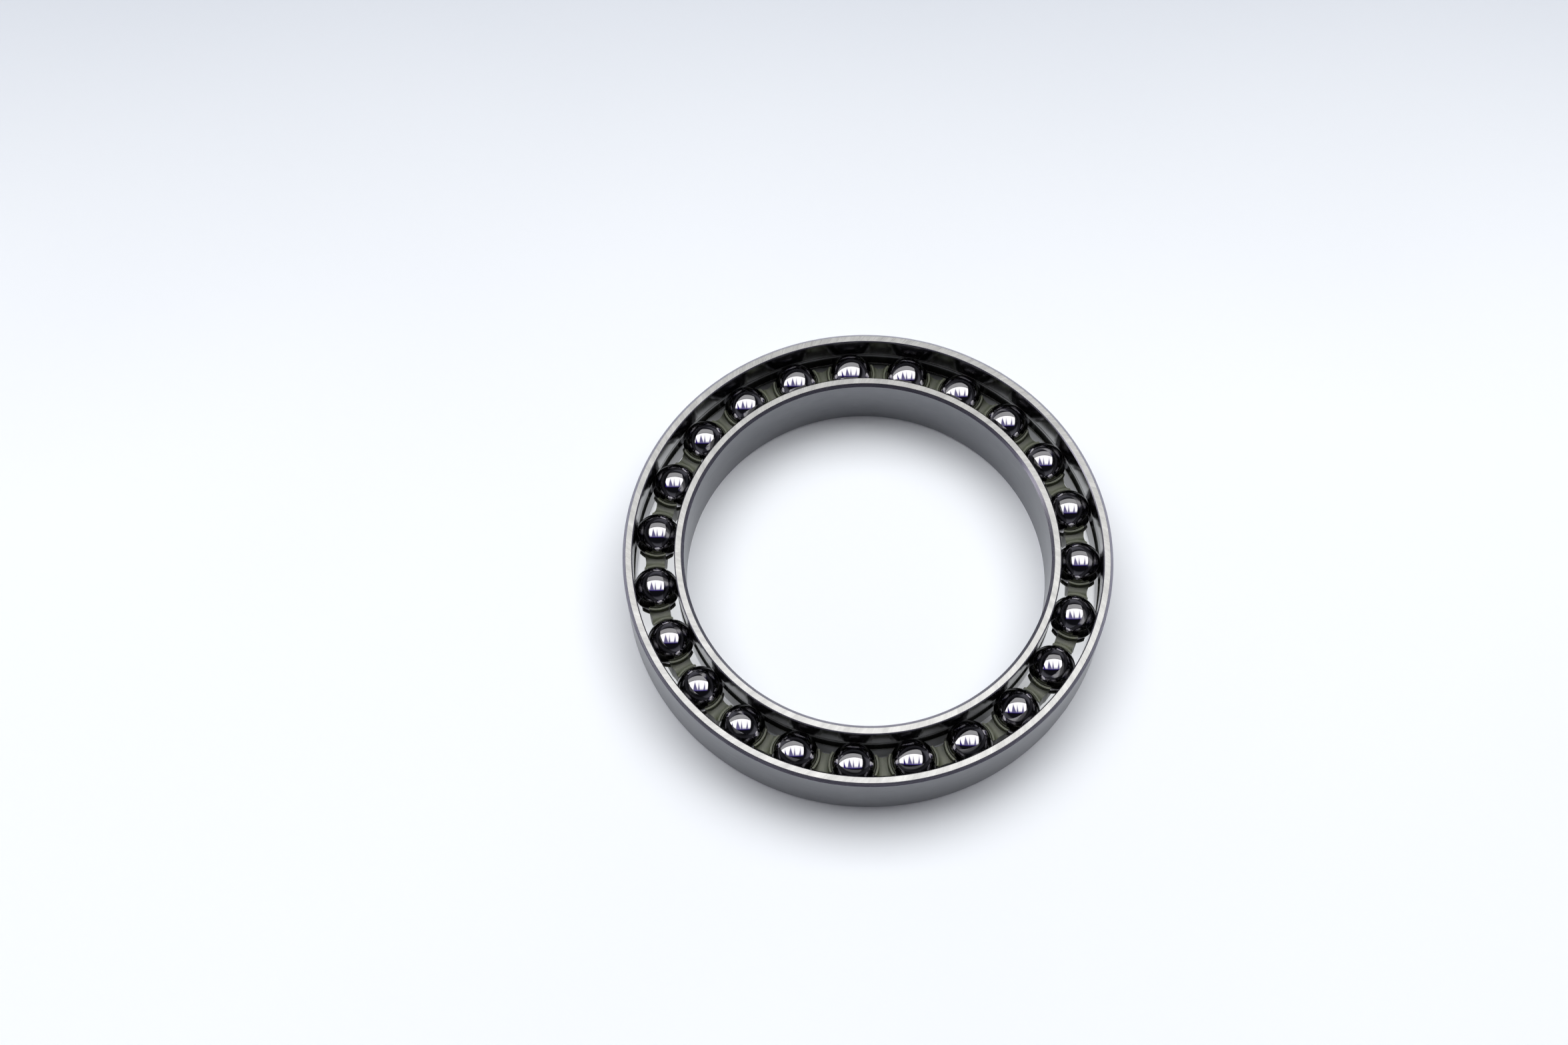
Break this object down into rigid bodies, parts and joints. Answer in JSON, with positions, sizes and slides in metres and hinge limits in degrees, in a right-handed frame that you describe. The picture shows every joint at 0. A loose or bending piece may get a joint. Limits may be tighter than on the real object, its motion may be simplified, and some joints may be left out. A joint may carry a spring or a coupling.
{
  "type": "flexible ball bearing",
  "caption": "Thin-ring single-row radial ball bearing for a wave generator, with an open crown cage snapped over its balls.",
  "frame": {"origin": "centre of the bearing, on its axis and midway between its two faces", "axes": "+Z along the bearing's axis, towards the side where the cage's pockets are open"},
  "size_m": [0.16, 0.16, 0.024],
  "materials": {
    "ring_steel": "ground faces and sides, polished grooves",
    "ball_steel": "mirror polished",
    "cage_nylon": "olive green moulded nylon, slightly translucent"
  },
  "bodies": {
    "outer_ring": {"outer_ring": "ring_steel"},
    "inner_ring": {"inner_ring": "ring_steel"},
    "cage": {"cage": "cage_nylon"},
    "ball_01": {"ball_01": "ball_steel"},
    "ball_02": {"ball_02": "ball_steel"},
    "ball_03": {"ball_03": "ball_steel"},
    "ball_04": {"ball_04": "ball_steel"},
    "ball_05": {"ball_05": "ball_steel"},
    "ball_06": {"ball_06": "ball_steel"},
    "ball_07": {"ball_07": "ball_steel"},
    "ball_08": {"ball_08": "ball_steel"},
    "ball_09": {"ball_09": "ball_steel"},
    "ball_10": {"ball_10": "ball_steel"},
    "ball_11": {"ball_11": "ball_steel"},
    "ball_12": {"ball_12": "ball_steel"},
    "ball_13": {"ball_13": "ball_steel"},
    "ball_14": {"ball_14": "ball_steel"},
    "ball_15": {"ball_15": "ball_steel"},
    "ball_16": {"ball_16": "ball_steel"},
    "ball_17": {"ball_17": "ball_steel"},
    "ball_18": {"ball_18": "ball_steel"},
    "ball_19": {"ball_19": "ball_steel"},
    "ball_20": {"ball_20": "ball_steel"},
    "ball_21": {"ball_21": "ball_steel"},
    "ball_22": {"ball_22": "ball_steel"},
    "ball_23": {"ball_23": "ball_steel"}
  },
  "joints": [
    {"name": "inner_ring_spin", "type": "hinge", "parent": "outer_ring", "child": "inner_ring", "pos_m": [0, 0, 0], "axis": [0, 0, 1], "continuous": true},
    {"name": "cage_spin", "type": "hinge", "parent": "outer_ring", "child": "cage", "pos_m": [0, 0, 0], "axis": [0, 0, 1], "continuous": true},
    {"name": "ball_01_roll", "type": "hinge", "parent": "cage", "child": "ball_01", "pos_m": [-0.00354, 0.06991, 0], "axis": [0, 0, 1], "continuous": true},
    {"name": "ball_02_roll", "type": "hinge", "parent": "cage", "child": "ball_02", "pos_m": [-0.02227, 0.06636, 0], "axis": [0, 0, 1], "continuous": true},
    {"name": "ball_03_roll", "type": "hinge", "parent": "cage", "child": "ball_03", "pos_m": [-0.03935, 0.05789, 0], "axis": [0, 0, 1], "continuous": true},
    {"name": "ball_04_roll", "type": "hinge", "parent": "cage", "child": "ball_04", "pos_m": [-0.05351, 0.04513, 0], "axis": [0, 0, 1], "continuous": true},
    {"name": "ball_05_roll", "type": "hinge", "parent": "cage", "child": "ball_05", "pos_m": [-0.0637, 0.02902, 0], "axis": [0, 0, 1], "continuous": true},
    {"name": "ball_06_roll", "type": "hinge", "parent": "cage", "child": "ball_06", "pos_m": [-0.06917, 0.01076, 0], "axis": [0, 0, 1], "continuous": true},
    {"name": "ball_07_roll", "type": "hinge", "parent": "cage", "child": "ball_07", "pos_m": [-0.06951, -0.0083, 0], "axis": [0, 0, 1], "continuous": true},
    {"name": "ball_08_roll", "type": "hinge", "parent": "cage", "child": "ball_08", "pos_m": [-0.06469, -0.02675, 0], "axis": [0, 0, 1], "continuous": true},
    {"name": "ball_09_roll", "type": "hinge", "parent": "cage", "child": "ball_09", "pos_m": [-0.05507, -0.04321, 0], "axis": [0, 0, 1], "continuous": true},
    {"name": "ball_10_roll", "type": "hinge", "parent": "cage", "child": "ball_10", "pos_m": [-0.04137, -0.05647, 0], "axis": [0, 0, 1], "continuous": true},
    {"name": "ball_11_roll", "type": "hinge", "parent": "cage", "child": "ball_11", "pos_m": [-0.0246, -0.06553, 0], "axis": [0, 0, 1], "continuous": true},
    {"name": "ball_12_roll", "type": "hinge", "parent": "cage", "child": "ball_12", "pos_m": [-0.00601, -0.06974, 0], "axis": [0, 0, 1], "continuous": true},
    {"name": "ball_13_roll", "type": "hinge", "parent": "cage", "child": "ball_13", "pos_m": [0.01303, -0.06878, 0], "axis": [0, 0, 1], "continuous": true},
    {"name": "ball_14_roll", "type": "hinge", "parent": "cage", "child": "ball_14", "pos_m": [0.0311, -0.06271, 0], "axis": [0, 0, 1], "continuous": true},
    {"name": "ball_15_roll", "type": "hinge", "parent": "cage", "child": "ball_15", "pos_m": [0.04687, -0.052, 0], "axis": [0, 0, 1], "continuous": true},
    {"name": "ball_16_roll", "type": "hinge", "parent": "cage", "child": "ball_16", "pos_m": [0.05916, -0.03742, 0], "axis": [0, 0, 1], "continuous": true},
    {"name": "ball_17_roll", "type": "hinge", "parent": "cage", "child": "ball_17", "pos_m": [0.06706, -0.02007, 0], "axis": [0, 0, 1], "continuous": true},
    {"name": "ball_18_roll", "type": "hinge", "parent": "cage", "child": "ball_18", "pos_m": [0.06999, -0.00124, 0], "axis": [0, 0, 1], "continuous": true},
    {"name": "ball_19_roll", "type": "hinge", "parent": "cage", "child": "ball_19", "pos_m": [0.06773, 0.01769, 0], "axis": [0, 0, 1], "continuous": true},
    {"name": "ball_20_roll", "type": "hinge", "parent": "cage", "child": "ball_20", "pos_m": [0.06044, 0.03531, 0], "axis": [0, 0, 1], "continuous": true},
    {"name": "ball_21_roll", "type": "hinge", "parent": "cage", "child": "ball_21", "pos_m": [0.04868, 0.05031, 0], "axis": [0, 0, 1], "continuous": true},
    {"name": "ball_22_roll", "type": "hinge", "parent": "cage", "child": "ball_22", "pos_m": [0.0333, 0.06157, 0], "axis": [0, 0, 1], "continuous": true},
    {"name": "ball_23_roll", "type": "hinge", "parent": "cage", "child": "ball_23", "pos_m": [0.01545, 0.06827, 0], "axis": [0, 0, 1], "continuous": true}
  ],
  "couplings": [
    {"joint": "cage_spin", "follows": "inner_ring_spin", "ratio": 0.44643},
    {"joint": "ball_01_roll", "follows": "inner_ring_spin", "ratio": -4.6131},
    {"joint": "ball_02_roll", "follows": "inner_ring_spin", "ratio": -4.6131},
    {"joint": "ball_03_roll", "follows": "inner_ring_spin", "ratio": -4.6131},
    {"joint": "ball_04_roll", "follows": "inner_ring_spin", "ratio": -4.6131},
    {"joint": "ball_05_roll", "follows": "inner_ring_spin", "ratio": -4.6131},
    {"joint": "ball_06_roll", "follows": "inner_ring_spin", "ratio": -4.6131},
    {"joint": "ball_07_roll", "follows": "inner_ring_spin", "ratio": -4.6131},
    {"joint": "ball_08_roll", "follows": "inner_ring_spin", "ratio": -4.6131},
    {"joint": "ball_09_roll", "follows": "inner_ring_spin", "ratio": -4.6131},
    {"joint": "ball_10_roll", "follows": "inner_ring_spin", "ratio": -4.6131},
    {"joint": "ball_11_roll", "follows": "inner_ring_spin", "ratio": -4.6131},
    {"joint": "ball_12_roll", "follows": "inner_ring_spin", "ratio": -4.6131},
    {"joint": "ball_13_roll", "follows": "inner_ring_spin", "ratio": -4.6131},
    {"joint": "ball_14_roll", "follows": "inner_ring_spin", "ratio": -4.6131},
    {"joint": "ball_15_roll", "follows": "inner_ring_spin", "ratio": -4.6131},
    {"joint": "ball_16_roll", "follows": "inner_ring_spin", "ratio": -4.6131},
    {"joint": "ball_17_roll", "follows": "inner_ring_spin", "ratio": -4.6131},
    {"joint": "ball_18_roll", "follows": "inner_ring_spin", "ratio": -4.6131},
    {"joint": "ball_19_roll", "follows": "inner_ring_spin", "ratio": -4.6131},
    {"joint": "ball_20_roll", "follows": "inner_ring_spin", "ratio": -4.6131},
    {"joint": "ball_21_roll", "follows": "inner_ring_spin", "ratio": -4.6131},
    {"joint": "ball_22_roll", "follows": "inner_ring_spin", "ratio": -4.6131},
    {"joint": "ball_23_roll", "follows": "inner_ring_spin", "ratio": -4.6131}
  ]
}
